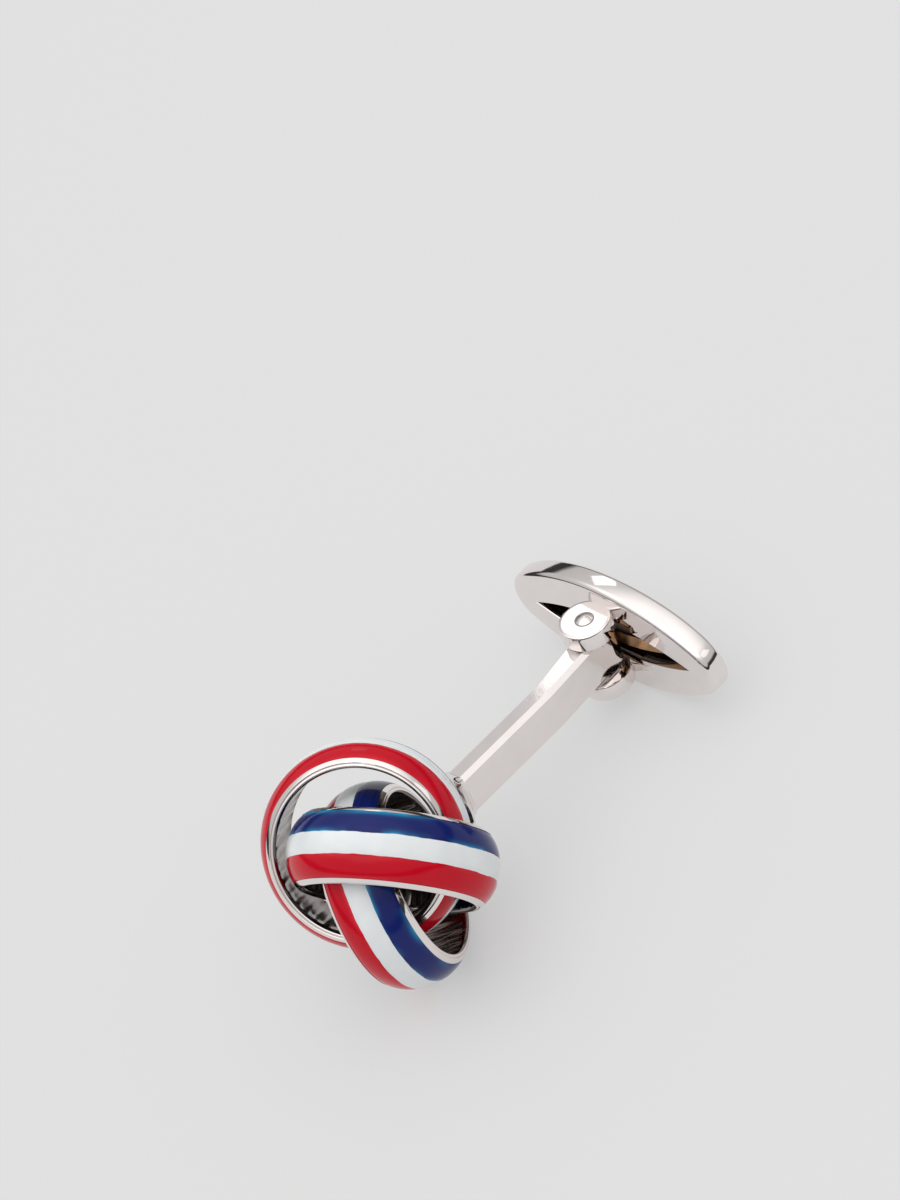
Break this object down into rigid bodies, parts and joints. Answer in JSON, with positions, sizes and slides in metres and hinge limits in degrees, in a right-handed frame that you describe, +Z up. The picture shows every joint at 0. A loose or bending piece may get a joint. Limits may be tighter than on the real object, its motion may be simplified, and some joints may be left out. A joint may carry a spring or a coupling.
{
  "type": "cufflink",
  "caption": "Swivel-back cufflink with a knot head of linked striped enamel hoops, a flat bent post and an oval domed toggle that turns on a riveted pin to pass a buttonhole.",
  "frame": {"origin": "on the table under the middle of the cufflink's box, with the cufflink lying on its side", "axes": "+Z up; +X along the cufflink from the toggle to the front of the knot; +Y along the toggle's long axis"},
  "size_m": [0.0302, 0.0178, 0.0155],
  "materials": {
    "plated_metal": "bright polished rhodium plate",
    "enamel_red": "gloss enamel",
    "enamel_white": "gloss enamel",
    "enamel_blue": "gloss enamel",
    "spring_bronze": "bare rolled spring strip"
  },
  "bodies": {
    "link": {"knot_band_1": "plated_metal", "enamel_red_1": "enamel_red", "enamel_white_1": "enamel_white", "enamel_blue_1": "enamel_blue", "knot_band_2": "plated_metal", "enamel_red_2": "enamel_red", "enamel_white_2": "enamel_white", "enamel_blue_2": "enamel_blue", "knot_band_3": "plated_metal", "enamel_red_3": "enamel_red", "enamel_white_3": "enamel_white", "enamel_blue_3": "enamel_blue", "post": "plated_metal", "solder_collar": "plated_metal"},
    "toggle": {"toggle_plate": "plated_metal", "toggle_shell": "plated_metal", "hinge_pin": "plated_metal", "leaf_spring": "spring_bronze"}
  },
  "joints": [
    {"name": "toggle_swivel", "type": "hinge", "parent": "link", "child": "toggle", "pos_m": [-0.01108, 0, 0.00458], "axis": [-0.2042, 0, 0.9789], "range_deg": [-90, 90]}
  ]
}
